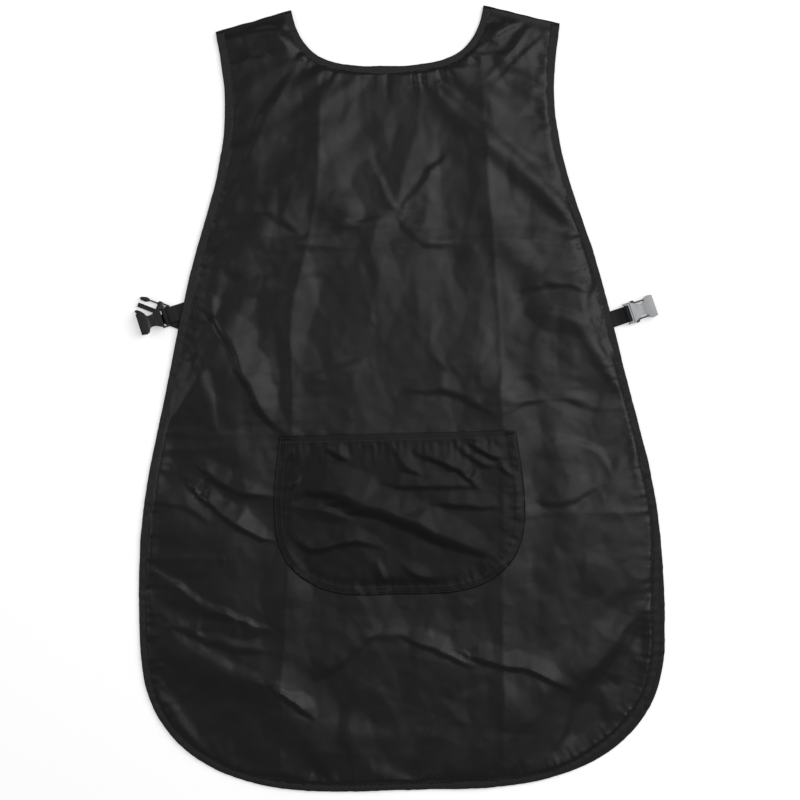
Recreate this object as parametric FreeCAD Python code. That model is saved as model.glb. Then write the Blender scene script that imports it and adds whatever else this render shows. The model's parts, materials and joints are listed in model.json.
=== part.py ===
"""Artist's smock apron: a tabard of thin woven nylon, bound round its edges and neck, with one
patch pocket on the front and a webbing strap and side-release buckle at each side of the waist.

The garment lies flat, front panel up.  Millimetres.  +X is towards the right of the front panel,
+Y towards the neck, +Z up out of the cloth.  The origin is under the middle of the garment, on
the surface that it lies on.
"""
import FreeCAD, Part
import math
import os

V = FreeCAD.Vector

# --- outline of one panel: the right half, from the outer shoulder tip round to the hem --------
SIDE_POINTS = [
    (163, 352), (156.3, 285), (170, 200), (188.6, 140), (203, 84), (222, 0),
    (240, -80), (249.5, -210), (238, -287), (205, -330), (130, -363.5),
]
HEM_POINT = (0, -370)
NECK_POINTS = [(91, 371), (87.5, 357), (79.5, 341), (66, 328), (43, 320)]
NECK_LOW_POINT = (0, 317)

# --- cloth layers, from the surface upwards ------------------------------------------------------
CLOTH = 1.6
BINDING_WIDTH = 8.0
BINDING_PROUD = 0.3
TONGUE_INSET = 1.0
TONGUE_LOW = 0.5
TONGUE_THICK = 0.6
TAIL_THICK = 1.6
LAYER_GAP = 0.2
SEAM_WIDTH = 12.0
SEAM_SHORT = 15.0
BACK_Z = 0.0
BACK_TAIL_Z = BACK_Z + CLOTH
HINGE_Z = BACK_TAIL_Z + TAIL_THICK + LAYER_GAP
FRONT_TAIL_Z = HINGE_Z + LAYER_GAP
FRONT_Z = FRONT_TAIL_Z + TAIL_THICK
FRONT_TOP = FRONT_Z + CLOTH

# --- patch pocket --------------------------------------------------------------------------------
POCKET_MOUTH_Y = -31.7
POCKET_HALF_POINTS = [(112, POCKET_MOUTH_Y), (117, -70), (119, -108), (109, -150), (76, -177)]
POCKET_BASE_POINT = (0, -184)
POCKET_HOLLOW = 6.0
POCKET_CLOTH = 0.8
POCKET_SEAM = 6.0
HEM_WIDTH = 7.5
BARTACK = (9.0, 2.0, 0.4)

# --- webbing straps ------------------------------------------------------------------------------
WEBBING_WIDTH = 16.0
WEBBING_THICK = 0.8
TAIL_INSIDE = 20.0
STUB = 8.1
HINGE_REACH = 8.3
STRAP_START = 2.5
BAR_RADIUS = 1.2
LOOP_INNER = BAR_RADIUS + 0.2
LOOP_OUTER = LOOP_INNER + WEBBING_THICK
LOOP_TAPER = 4.4
# (side, layer): root on the panel's edge, heading in degrees from +X, root to bar in plan
STRAPS = {
    ("left", "front"): ((-201.8, 89.0), 180 + 16.6, 16.0),
    ("left", "back"): ((-204.2, 80.0), 180 - 23.0, 16.0),
    ("right", "front"): ((205.8, 71.5), 17.5, 16.0),
    ("right", "back"): ((205.8, 71.5), 17.5, 16.0),
}

# --- side-release buckles, along u from the bar to the mouth -------------------------------------
MALE_THICK = 5.4
MALE_BAR_Z = MALE_THICK / 2
FEMALE_THICK = 6.6
FEMALE_BAR_Z = MALE_THICK + 0.5 + FEMALE_THICK / 2
RAIL_INNER = 8.6
RAIL_OUTER = 10.2
RAIL_THICK = 3.4
REAR_EDGE = -1.9
SLOT_END = 4.4
FEMALE_START = 3.4
FEMALE_LENGTH = 26.0
FEMALE_REAR_HALF = 9.8
FEMALE_WAIST_HALF = 5.4
FEMALE_MOUTH_HALF = 10.7
SOCKET_HALF = 9.7
SOCKET_HEIGHT = 4.6
SOCKET_FLOOR = 6.4
THUMB_RADIUS = 30.0
THUMB_DEPTH = 0.4
MALE_BASE_HALF = 10.8
MALE_BASE_END = 9.0
PRONG_HALF = 2.2
PRONG_THICK = 2.6
PRONG_END = 26.5
PRONG_RIBS = 6
ARM_OFFSET = 8.0
ARM_KNUCKLE = 1.3
ARM_SEAT_GAP = 0.2
ARM_THICK = 4.0
ARM_LENGTH = 18.5


def curve(points):
    """One smooth edge through the points."""
    spline = Part.BSplineCurve()
    spline.interpolate([V(x, y, 0) for x, y in points])
    return spline.toShape()


def mirrored(half, middle):
    """The half's points, the middle point, and the half's points again on the other side."""
    return half + [middle] + [(-x, y) for x, y in reversed(half)]


def inset(half, middle, distance, start_direction):
    """The half outline's points moved into the cloth, its first point along the shoulder."""
    whole = mirrored(half, middle)
    moved = [(half[0][0] + start_direction[0] * distance, half[0][1] + start_direction[1] * distance)]
    for before, point, after in zip(whole, whole[1:], whole[2:]):
        along = V(after[0] - before[0], after[1] - before[1], 0).normalize()
        moved.append((point[0] + along.y * distance, point[1] - along.x * distance))
        if point == middle:
            break
    return moved[:-1], moved[-1]


def shoulder_direction():
    """Unit direction along the right shoulder, from its outer tip to its inner tip."""
    outer, inner = SIDE_POINTS[0], NECK_POINTS[0]
    length = math.hypot(inner[0] - outer[0], inner[1] - outer[1])
    return (inner[0] - outer[0]) / length, (inner[1] - outer[1]) / length


def panel_face(distance, z):
    """A panel's face, drawn in from its side, hem and neck edges, but not from its shoulders."""
    dx, dy = shoulder_direction()
    side, hem = inset(SIDE_POINTS, HEM_POINT, distance, (dx, dy))
    neck, low = inset(NECK_POINTS, NECK_LOW_POINT, -distance, (dx, dy))
    shoulders = [
        Part.LineSegment(V(s * side[0][0], side[0][1], 0), V(s * neck[0][0], neck[0][1], 0)).toShape()
        for s in (1, -1)
    ]
    edges = [curve(mirrored(side, hem)), shoulders[0], curve(mirrored(neck, low)), shoulders[1]]
    face = Part.Face(Part.Wire(Part.__sortEdges__(edges)))
    face.translate(V(0, 0, z))
    return face


def up(face, height):
    """A face drawn straight up into a solid."""
    return face.extrude(V(0, 0, height))


def block(low, high):
    """A box from its lowest corner to its highest corner."""
    return Part.makeBox(*[b - a for a, b in zip(low, high)], V(*low))


def seam_allowance(side, low, high):
    """The cloth turned in along one shoulder, below the shoulder line and short of the neck tape."""
    dx, dy = shoulder_direction()
    start = V(SIDE_POINTS[0][0] + dx * BINDING_WIDTH, SIDE_POINTS[0][1] + dy * BINDING_WIDTH, low)
    end = V(NECK_POINTS[0][0] - dx * SEAM_SHORT, NECK_POINTS[0][1] - dy * SEAM_SHORT, low)
    down = V(dy, -dx, 0) * -SEAM_WIDTH
    corners = [start, end, end + down, start + down, start]
    corners = [V(side * p.x, p.y, p.z) for p in corners]
    return up(Part.Face(Part.makePolygon(corners)), high - low)


def panel(z, seam_low, seam_high):
    """Cloth of one panel: full thickness, with a thin tongue that the bindings close over."""
    cloth = up(panel_face(BINDING_WIDTH, z), CLOTH)
    tongue = up(panel_face(TONGUE_INSET, z + TONGUE_LOW), TONGUE_THICK)
    seams = [seam_allowance(side, seam_low, seam_high) for side in (-1, 1)]
    return cloth.fuse([tongue] + seams).removeSplitter()


def bindings(z):
    """The folded tape on a panel's side and hem edge, and the one on its neck edge."""
    height = CLOTH + BINDING_PROUD
    band = up(panel_face(0, z), height).cut(up(panel_face(BINDING_WIDTH, z), height))
    band = band.cut(up(panel_face(TONGUE_INSET, z + TONGUE_LOW), TONGUE_THICK))
    edge, neck = sorted(band.Solids, key=lambda solid: solid.BoundBox.YMin)
    return edge, neck


def pocket_face(distance, z, top):
    """The pocket's D-shaped outline, drawn in by a distance, closed by a straight top edge."""
    side, base = inset(POCKET_HALF_POINTS, POCKET_BASE_POINT, distance, (0, 0))
    side[0] = (POCKET_HALF_POINTS[0][0] - distance, top)
    closing = Part.LineSegment(V(-side[0][0], top, 0), V(side[0][0], top, 0)).toShape()
    face = Part.Face(Part.Wire([curve(mirrored(side, base)), closing]))
    face.translate(V(0, 0, z))
    return face


def pocket_panel():
    """The patch, standing off the front panel inside its sewn rim and open at its mouth."""
    patch = up(pocket_face(0, FRONT_TOP, POCKET_MOUTH_Y), POCKET_HOLLOW + POCKET_CLOTH)
    hollow = up(pocket_face(POCKET_SEAM, FRONT_TOP, POCKET_MOUTH_Y + 1), POCKET_HOLLOW)
    return patch.cut(hollow)


def pocket_hem():
    """The turned-in hem along the pocket's mouth, under its top cloth."""
    half = POCKET_HALF_POINTS[0][0] - POCKET_SEAM - 0.2
    top = FRONT_TOP + POCKET_HOLLOW
    return block((-half, POCKET_MOUTH_Y - HEM_WIDTH, top - POCKET_CLOTH), (half, POCKET_MOUTH_Y, top))


def pocket_bartacks():
    """The dense stitches at the two ends of the pocket's mouth."""
    length, width, height = BARTACK
    top = FRONT_TOP + POCKET_HOLLOW + POCKET_CLOTH
    tacks = []
    for side in (-1, 1):
        middle = side * (POCKET_HALF_POINTS[0][0] - 1 - length / 2)
        low = (middle - length / 2, POCKET_MOUTH_Y - 1 - width, top)
        tacks.append(block(low, (low[0] + length, low[1] + width, top + height)))
    return Part.makeCompound(tacks)


def placed(shape, root, heading):
    """A shape from strap axes (u outwards, v across, w up) to its place at the waist."""
    shape = shape.copy()
    shape.rotate(V(0, 0, 0), V(0, 0, 1), heading)
    shape.translate(V(root[0], root[1], 0))
    return shape


def tail(z):
    """The end of a strap that is sewn to the panel, with a short stub past the panel's edge."""
    half = WEBBING_WIDTH / 2
    return block((-TAIL_INSIDE, -half, z), (STUB, half, z + TAIL_THICK))


def anchor_bartack(z):
    """A row of dense stitches across the sewn tail, on the panel's outside."""
    half = WEBBING_WIDTH / 2 - 1
    return block((-TAIL_INSIDE + 4, -half, z), (-TAIL_INSIDE + 6, half, z + BARTACK[2]))


def webbing_loop(hinge_z, bar_z, reach):
    """Doubled webbing from the strap's bend out to the buckle's bar, and round the bar."""
    rise = bar_z - hinge_z
    length = math.hypot(reach - HINGE_REACH, rise)
    across = V(0, WEBBING_WIDTH, 0)
    bar = V(length, -WEBBING_WIDTH / 2, 0)
    neck = length - LOOP_TAPER

    def teardrop(radius, tip, tip_half):
        """A cylinder round the bar with two straight flanks that run back to the tip."""
        lean = math.acos((radius - tip_half) / (length - tip))
        x, z = length - radius * math.cos(lean), radius * math.sin(lean)
        corners = [V(x, bar.y, z), V(tip, bar.y, tip_half), V(tip, bar.y, -tip_half), V(x, bar.y, -z)]
        if tip_half == 0:
            corners.pop(2)
        flanks = Part.Face(Part.makePolygon(corners + corners[:1])).extrude(across)
        return Part.makeCylinder(radius, WEBBING_WIDTH, bar, V(0, 1, 0)).fuse(flanks)

    doubled = block((STRAP_START, bar.y, -WEBBING_THICK), (neck + 0.05, -bar.y, WEBBING_THICK))
    outer = teardrop(LOOP_OUTER, neck, WEBBING_THICK).fuse(doubled)
    strap = outer.cut(teardrop(LOOP_INNER, neck, 0)).removeSplitter()
    strap.rotate(V(0, 0, 0), V(0, -1, 0), math.degrees(math.asin(rise / length)))
    strap.translate(V(HINGE_REACH, 0, hinge_z))
    return strap


def flat_outline(points, thick, rounded=False):
    """A plate through points on one side, mirrored across the buckle's centre line."""
    near = [V(u, v, 0) for u, v in points]
    far = [V(p.x, -p.y, 0) for p in near]
    if rounded:
        sides = [curve([(p.x, p.y) for p in side]) for side in (near, far)]
    else:
        sides = [Part.makePolygon(near), Part.makePolygon(far)]
    ends = [Part.makePolygon([near[k], far[k]]) for k in (0, -1)]
    edges = [edge for part in sides + ends for edge in part.Edges]
    plate = up(Part.Face(Part.Wire(Part.__sortEdges__(edges))), thick)
    plate.translate(V(0, 0, -thick / 2))
    return plate


def bar_and_rails(half):
    """The round bar that the webbing loops over, and the two rails that hold it."""
    parts = [Part.makeCylinder(BAR_RADIUS, 2 * half - 1, V(0, 0.5 - half, 0), V(0, 1, 0))]
    for side in (-1, 1):
        low = (REAR_EDGE, min(side * RAIL_INNER, side * half), -RAIL_THICK / 2)
        high = (SLOT_END + 0.5, max(side * RAIL_INNER, side * half), RAIL_THICK / 2)
        parts.append(block(low, high))
    return parts


def female_buckle():
    """The hourglass socket half, open at its waist, where the plug's arms are pressed in."""
    side = [
        (FEMALE_START, FEMALE_REAR_HALF), (6.5, 8.2), (10.0, 6.3), (14.0, FEMALE_WAIST_HALF),
        (16.8, 6.2), (18.2, 8.9), (20.0, FEMALE_MOUTH_HALF - 0.1), (23.0, FEMALE_MOUTH_HALF),
        (FEMALE_LENGTH, FEMALE_MOUTH_HALF - 0.5),
    ]
    body = flat_outline(side, FEMALE_THICK, rounded=True)
    socket = block(
        (SOCKET_FLOOR, -SOCKET_HALF, -SOCKET_HEIGHT / 2),
        (FEMALE_LENGTH + 1, SOCKET_HALF, SOCKET_HEIGHT / 2),
    )
    body = body.fuse(bar_and_rails(RAIL_OUTER)).cut(socket)
    dish = V(13, -6, FEMALE_THICK / 2 + THUMB_RADIUS - THUMB_DEPTH)
    return body.cut(Part.makeCylinder(THUMB_RADIUS, 12, dish, V(0, 1, 0))).removeSplitter()


def male_frame():
    """The plug half without its arms: the bar, the base and the ribbed guide prong."""
    side = [
        (SLOT_END, RAIL_OUTER), (SLOT_END + 1.5, MALE_BASE_HALF),
        (MALE_BASE_END - 1, MALE_BASE_HALF), (MALE_BASE_END, MALE_BASE_HALF - 1),
    ]
    base = flat_outline(side, MALE_THICK)
    prong = block(
        (MALE_BASE_END - 0.5, -PRONG_HALF, -PRONG_THICK / 2),
        (PRONG_END, PRONG_HALF, PRONG_THICK / 2),
    )
    frame = base.fuse(bar_and_rails(RAIL_OUTER) + [prong])
    pitch = (PRONG_END - MALE_BASE_END - 2) / PRONG_RIBS
    for rib in range(PRONG_RIBS):
        u = MALE_BASE_END + 1 + pitch * rib
        frame = frame.cut(block((u, -1.4, 0.5), (u + pitch / 2, 1.4, PRONG_THICK)))
    for sign in (-1, 1):
        seat = Part.makeCylinder(
            ARM_KNUCKLE + ARM_SEAT_GAP, ARM_THICK + 0.6, V(MALE_BASE_END - 0.3, sign * ARM_OFFSET, -2.3)
        )
        frame = frame.cut(seat)
    return frame.removeSplitter()


def male_arm(sign):
    """One springing side arm: a round root, a thin leaf and a barbed head."""
    root = V(MALE_BASE_END - 0.3, 0, -ARM_THICK / 2)
    head = [
        (0, 0.8), (9.4, 0.6), (9.9, 1.5), (12.6, 1.7), (ARM_LENGTH - 1.2, 0.1),
        (ARM_LENGTH, -1.4), (ARM_LENGTH - 1.8, -2.9), (12.0, -3.0), (9.8, -1.8), (8.4, -0.7), (0, -0.8),
    ]
    corners = [V(root.x + u, v, root.z) for u, v in head]
    leaf = up(Part.Face(Part.makePolygon(corners + corners[:1])), ARM_THICK)
    arm = leaf.fuse(Part.makeCylinder(ARM_KNUCKLE, ARM_THICK, root)).removeSplitter()
    if sign < 0:
        arm = arm.mirror(V(0, 0, 0), V(0, 1, 0))
    arm.translate(V(0, sign * ARM_OFFSET, 0))
    return arm


def build():
    """Every node's shape, by name."""
    nodes = {
        "front_panel": panel(FRONT_Z, HINGE_Z + 0.1, FRONT_Z),
        "back_panel": panel(BACK_Z, BACK_Z + CLOTH, HINGE_Z - 0.1),
        "pocket_panel": pocket_panel(),
        "pocket_mouth_hem": pocket_hem(),
        "pocket_bartacks": pocket_bartacks(),
    }
    nodes["front_edge_binding"], nodes["front_neck_binding"] = bindings(FRONT_Z)
    nodes["back_edge_binding"], nodes["back_neck_binding"] = bindings(BACK_Z)

    tail_z = {"front": FRONT_TAIL_Z, "back": BACK_TAIL_Z}
    bar_z = {"front": FEMALE_BAR_Z, "back": MALE_BAR_Z}
    tacks = []
    for (side, layer), (root, heading, reach) in STRAPS.items():
        sewn = placed(tail(tail_z[layer]), root, heading).cut(nodes[layer + "_edge_binding"])
        nodes["{}_strap_tail_{}".format(layer, side)] = max(sewn.Solids, key=lambda s: s.Volume)
        loop = webbing_loop(tail_z[layer] + TAIL_THICK / 2, bar_z[layer], reach)
        nodes["{}_strap_{}".format(layer, side)] = placed(loop, root, heading)
        if layer == "front":
            tacks.append(placed(anchor_bartack(FRONT_TOP), root, heading))
            nodes["female_buckle_" + side] = buckle_piece(female_buckle(), root, heading, reach, bar_z[layer])
        else:
            upper = 1 if side == "right" else -1
            pieces = {"male_buckle_": male_frame(), "male_arm_upper_": male_arm(upper)}
            pieces["male_arm_lower_"] = male_arm(-upper)
            for name, shape in pieces.items():
                nodes[name + side] = buckle_piece(shape, root, heading, reach, bar_z[layer])
    nodes["front_strap_bartacks"] = Part.makeCompound(tacks)
    return nodes


def buckle_piece(shape, root, heading, reach, bar_z):
    """A buckle's piece from its own axes to its place, level, with its bar at the strap's end."""
    shape = shape.copy()
    shape.translate(V(reach, 0, bar_z))
    return placed(shape, root, heading)


os.makedirs("parts", exist_ok=True)
for node, shape in build().items():
    shape.exportStep("parts/{}.step".format(node))
    box = shape.BoundBox
    print("{:24s} solids {} valid {} volume {:9.1f} x {:7.1f} {:7.1f} y {:7.1f} {:7.1f} z {:5.2f} {:5.2f}".format(
        node, len(shape.Solids), shape.isValid(), shape.Volume,
        box.XMin, box.XMax, box.YMin, box.YMax, box.ZMin, box.ZMax,
    ))
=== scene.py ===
"""Visual model of the artist's smock apron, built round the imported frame.

The garment lies flat, front panel up.  Sizes below are in millimetres, in the frame's own axes,
and MM turns them into Blender's metres.
"""
import json
import math

import bmesh
import bpy
import numpy as np
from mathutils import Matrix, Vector, kdtree, noise
from mathutils.bvhtree import BVHTree
from mathutils.geometry import delaunay_2d_cdt


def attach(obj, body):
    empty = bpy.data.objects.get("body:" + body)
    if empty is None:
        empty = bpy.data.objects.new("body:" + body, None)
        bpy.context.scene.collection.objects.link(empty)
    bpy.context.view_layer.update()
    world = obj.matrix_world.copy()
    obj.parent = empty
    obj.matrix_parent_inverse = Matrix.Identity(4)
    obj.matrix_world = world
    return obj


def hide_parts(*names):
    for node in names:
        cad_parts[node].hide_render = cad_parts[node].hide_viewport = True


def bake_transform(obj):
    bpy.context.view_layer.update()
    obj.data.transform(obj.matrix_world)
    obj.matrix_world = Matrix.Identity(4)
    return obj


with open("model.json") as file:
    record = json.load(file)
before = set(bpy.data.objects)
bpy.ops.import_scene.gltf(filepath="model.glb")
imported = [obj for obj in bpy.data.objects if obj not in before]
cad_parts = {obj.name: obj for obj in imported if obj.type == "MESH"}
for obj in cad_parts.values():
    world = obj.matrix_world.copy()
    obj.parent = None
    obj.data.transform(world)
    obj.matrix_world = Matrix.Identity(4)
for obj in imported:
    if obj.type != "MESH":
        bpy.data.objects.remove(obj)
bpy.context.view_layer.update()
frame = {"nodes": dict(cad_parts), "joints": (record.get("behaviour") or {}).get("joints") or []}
MM = 0.001

# --- the garment's outline, right half, from the outer shoulder tip to the hem -------------------
SIDE = [
    (163, 352), (156.3, 285), (170, 200), (188.6, 140), (203, 84), (222, 0),
    (240, -80), (249.5, -210), (238, -287), (205, -330), (130, -363.5),
]
HEM = (0, -370)
NECK = [(91, 371), (87.5, 357), (79.5, 341), (66, 328), (43, 320)]
NECK_LOW = (0, 317)
POCKET = [(112, -31.7), (117, -70), (119, -108), (109, -150), (76, -177)]
POCKET_BASE = (0, -184)
POCKET_TOP = -31.7
HEM_WIDTH = 7.0

# --- cloth, tape and thread sizes -------------------------------------------------------------------
BACK_LEVEL = 0.9
FRONT_LEVEL = 3.0
TAPE_WIDTH = 8.2
TAPE_THICK = 1.5
CLOTH_STEP = 4.8
BACK_STEP = 8.0
POCKET_STEP = 2.4
STITCH_PITCH = 3.0
STITCH_LENGTH = 2.3
STITCH_RADIUS = 0.26
STITCH_LIFT = 0.12
SEWN_IN = 2.2
HINGE_Y = 371.5
STRAP_Y = 79.0
# the shoulders fall from this height on the middle line by this much a millimetre outwards
SHOULDER_TOP = 394
SHOULDER_FALL = 0.27
# the front cloth stays below this height at the hinge and below a slope away from it, so that it
# clears the floor when it is opened
OPEN_HEIGHT = 6.4
OPEN_RISE = 0.087
# the front cloth is calmest around this place below its left shoulder
CALM_PLACE = (-108, 285)
CALM_REACH = (38, 50)

# --- how the front cloth settles: frames, stiffness and spare width as a share -----------------------
SETTLE_FRAMES = 12
SETTLE_STIFFNESS = 15
SETTLE_SPARE = 0.003

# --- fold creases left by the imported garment: (points, slope, flank widths along it) -----------------
CREASES = [
    ([(-67, 326), (-80, 155), (-95, 99), (-100, -12), (-111, -190), (-120, -362)],
     0.085, (14, 40, 14, 12, 24, 24)),
    ([(86, 330), (95, 150), (99, 54), (96, -180), (93, -366)], 0.085, (30, 20, 40, 36, 12, 8)),
    ([(-174, 166), (-125, 160), (-80, 150), (31, 147), (95, 150), (184, 141)],
     0.07, (8, 16, 8, 10, 18, 12)),
    ([(-240, -144), (-165, -146)], 0.06, (7, 9)),
    ([(118, -109), (228, -112)], 0.06, (10, 8)),
    ([(-40, -222), (30, -223)], 0.08, (5, 6)),
]

# --- folds that stand up from the cloth: (points, height, width, lean) -------------------------------
# a lean above 0 makes the side on the right of the points' direction the steep one
FOLDS = [
    ([(-192, 108), (-170, 82), (-148, 36), (-128, -6), (-104, -32)], 3.6, 15, 0.8),
    ([(-226, 78), (-196, 44), (-180, 4), (-172, -26)], 1.6, 18, -0.5),
    ([(-206, -66), (-178, -96), (-150, -118), (-116, -134)], 3.4, 9, 0.9),
    ([(-196, -52), (-160, -80), (-116, -90)], 2.2, 9, 0.8),
    ([(-236, -88), (-204, -96), (-180, -112)], 1.4, 10, 0.6),
    ([(-240, -150), (-206, -178), (-168, -200), (-120, -216)], 2.2, 13, -0.7),
    ([(-222, -206), (-180, -222), (-118, -236)], 1.6, 14, 0.6),
    ([(-236, -196), (-196, -236), (-150, -262), (-110, -272)], 1.5, 18, -0.5),
    ([(-132, -262), (-110, -280), (-84, -302)], 2.8, 8, 0.8),
    ([(-6, -222), (36, -240), (70, -256)], 2.2, 9, 0.9),
    ([(48, -238), (92, -254), (126, -262), (160, -282)], 2.8, 10, 0.9),
    ([(-20, -212), (-56, -240), (-88, -262)], 1.6, 16, -0.6),
    ([(-40, -256), (-52, -300), (-44, -352)], 1.2, 16, 0.5),
    ([(78, -272), (40, -304), (4, -346)], 1.8, 20, 0.6),
    ([(236, -206), (222, -236), (188, -286), (158, -328), (142, -346)], -2.8, 27, 0.3),
    ([(3, 176), (-9, 204), (-22, 228)], 1.5, 9, 0.6),
    ([(3, 176), (24, 198), (52, 232)], 1.5, 11, -0.6),
    ([(3, 176), (-24, 166), (-58, 170)], 1.3, 12, 0.5),
    ([(3, 176), (24, 158), (60, 146)], 1.3, 13, 0.5),
    ([(-92, 312), (-102, 297), (-113, 279), (-126, 256), (-138, 230)], 2.8, 17, 0.7),
    ([(-132, 190), (-106, 178), (-84, 160)], 1.6, 15, 0.5),
    ([(112, 100), (150, 108), (190, 100)], 1.5, 12, 0.6),
    ([(124, 80), (152, 76), (196, 62)], 1.3, 12, -0.4),
    ([(-92, 22), (-56, 26), (-20, 40)], 1.2, 14, -0.5),
    ([(6, 8), (44, 10), (92, -16)], 1.7, 12, 0.6),
    ([(100, -16), (128, 0), (160, 2), (194, -14)], 1.4, 13, 0.5),
    ([(128, -52), (160, -46), (190, -58), (200, -78)], 1.2, 12, -0.5),
    ([(128, -100), (164, -96), (198, -78)], 1.2, 12, 0.6),
    ([(84, 330), (106, 346), (134, 360)], 1.6, 7, 0.6),
    ([(92, 300), (116, 326), (136, 352)], 1.2, 6, 0.6),
    ([(100, 296), (126, 322), (152, 344)], 1.0, 6, -0.5),
    ([(-136, 356), (-112, 352), (-92, 345), (-78, 334)], 3.2, 15, -0.6),
    ([(-148, 318), (-130, 326), (-112, 322)], 1.2, 10, -0.5),
]
POCKET_FOLDS = [
    ([(-107, -90), (-86, -83), (-68, -84), (-32, -97), (3, -111), (44, -130), (86, -148)],
     4.8, 19, 0.55),
    ([(-106, -98), (-78, -100), (-44, -112)], 1.6, 7, -0.7),
    ([(12, -48), (46, -62), (66, -75), (80, -89)], 2.4, 9, 0.8),
    ([(-18, -80), (30, -82), (76, -84)], 1.6, 9, 0.7),
    ([(28, -99), (62, -101), (99, -104)], 1.6, 8, 0.7),
    ([(-103, -128), (-79, -139), (-49, -133), (-16, -141)], 2.0, 9, 0.7),
    ([(-22, -150), (-18, -163), (-11, -177)], 1.6, 6, -0.6),
    ([(1, -156), (14, -166), (31, -173)], 1.4, 7, 0.6),
    ([(-71, -40), (-60, -50), (-45, -57)], 1.8, 7, 0.7),
    ([(-6, -42), (2, -58), (24, -73)], 1.6, 8, 0.7),
    ([(66, -38), (74, -46), (86, -54), (98, -58)], 3.0, 6, 0.9),
    ([(56, -42), (70, -57), (92, -67)], 1.8, 5, 0.8),
    ([(96, -60), (101, -70), (112, -74)], 2.4, 5, 0.8),
    ([(-93, -68), (-99, -74), (-105, -82)], 2.4, 5, 0.8),
    ([(-100, -40), (-101, -48), (-104, -56)], 2.0, 5, -0.8),
]

# ---------------------------------------------------------------------------------------------------
# Curves and fields
# ---------------------------------------------------------------------------------------------------


def smooth(t):
    """0 below 0, 1 above 1, and an even ramp between them."""
    t = np.clip(t, 0, 1)
    return t * t * (3 - 2 * t)


def spline(points, spacing):
    """Evenly spaced points along a natural cubic spline through the given points."""
    p = np.array(points, float)
    t = arc_length(p)
    n = len(p)
    h = np.diff(t)
    a = np.eye(n)
    b = np.zeros_like(p)
    for i in range(1, n - 1):
        a[i, i - 1:i + 2] = h[i - 1], 2 * (h[i - 1] + h[i]), h[i]
        b[i] = 6 * ((p[i + 1] - p[i]) / h[i] - (p[i] - p[i - 1]) / h[i - 1])
    m = np.linalg.solve(a, b)
    fine = np.linspace(0, t[-1], max(8, int(t[-1] / spacing) * 6))
    k = np.clip(np.searchsorted(t, fine, side="right") - 1, 0, n - 2)
    lo, hi = (t[k + 1] - fine)[:, None], (fine - t[k])[:, None]
    hk = h[k][:, None]
    curve = (
        m[k] * lo ** 3 / (6 * hk) + m[k + 1] * hi ** 3 / (6 * hk)
        + (p[k] / hk - m[k] * hk / 6) * lo + (p[k + 1] / hk - m[k + 1] * hk / 6) * hi
    )
    return evenly(curve, spacing)


def evenly(curve, spacing):
    """The polyline's points, spaced evenly along it."""
    s = arc_length(curve)
    count = max(2, int(round(s[-1] / spacing)) + 1)
    even = np.linspace(0, s[-1], count)
    return np.column_stack([np.interp(even, s, curve[:, i]) for i in range(curve.shape[1])])


def mirrored(half, middle):
    """The half outline, its middle point and the other half."""
    return half + [middle] + [(-x, y) for x, y in reversed(half)]


def left_normals(curve):
    """Unit normals to the left of a plane curve's direction."""
    d = np.gradient(curve[:, :2], axis=0)
    d /= np.linalg.norm(d, axis=1)[:, None]
    return np.column_stack([-d[:, 1], d[:, 0]])


def into_cloth(edge):
    """Unit normals of a mirrored edge on its cloth's side: towards the origin at its middle."""
    normals = left_normals(edge)
    middle = len(edge) // 2
    return normals * np.sign(-normals[middle] @ edge[middle, :2])


def arc_length(curve):
    """How far along the polyline each of its points lies."""
    return np.concatenate([[0], np.cumsum(np.linalg.norm(np.diff(curve, axis=0), axis=1))])


def noise_at(xy, size, seed):
    """Smooth noise from about -1 to 1 with features of that size in millimetres."""
    f = 1.0 / size
    offset = 37.0 * seed
    return np.array([
        noise.noise(Vector((x * f + offset, y * f - offset, seed * 1.7))) for x, y in xy
    ])


def distance_to(xy, points):
    """(signed distance, share of the way along) from each place to a polyline."""
    curve = spline(points, 3.0) if len(points) > 2 else evenly(np.array(points, float), 3.0)
    normals = left_normals(curve)
    best = np.full(len(xy), 1e9)
    signed = np.zeros(len(xy))
    share = np.zeros(len(xy))
    for i, (p, n) in enumerate(zip(curve, normals)):
        d = xy - p
        r = np.hypot(d[:, 0], d[:, 1])
        near = r < best
        best[near] = r[near]
        signed[near] = np.sign(d[near] @ n) * r[near]
        share[near] = i / (len(curve) - 1)
    return signed, share


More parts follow.
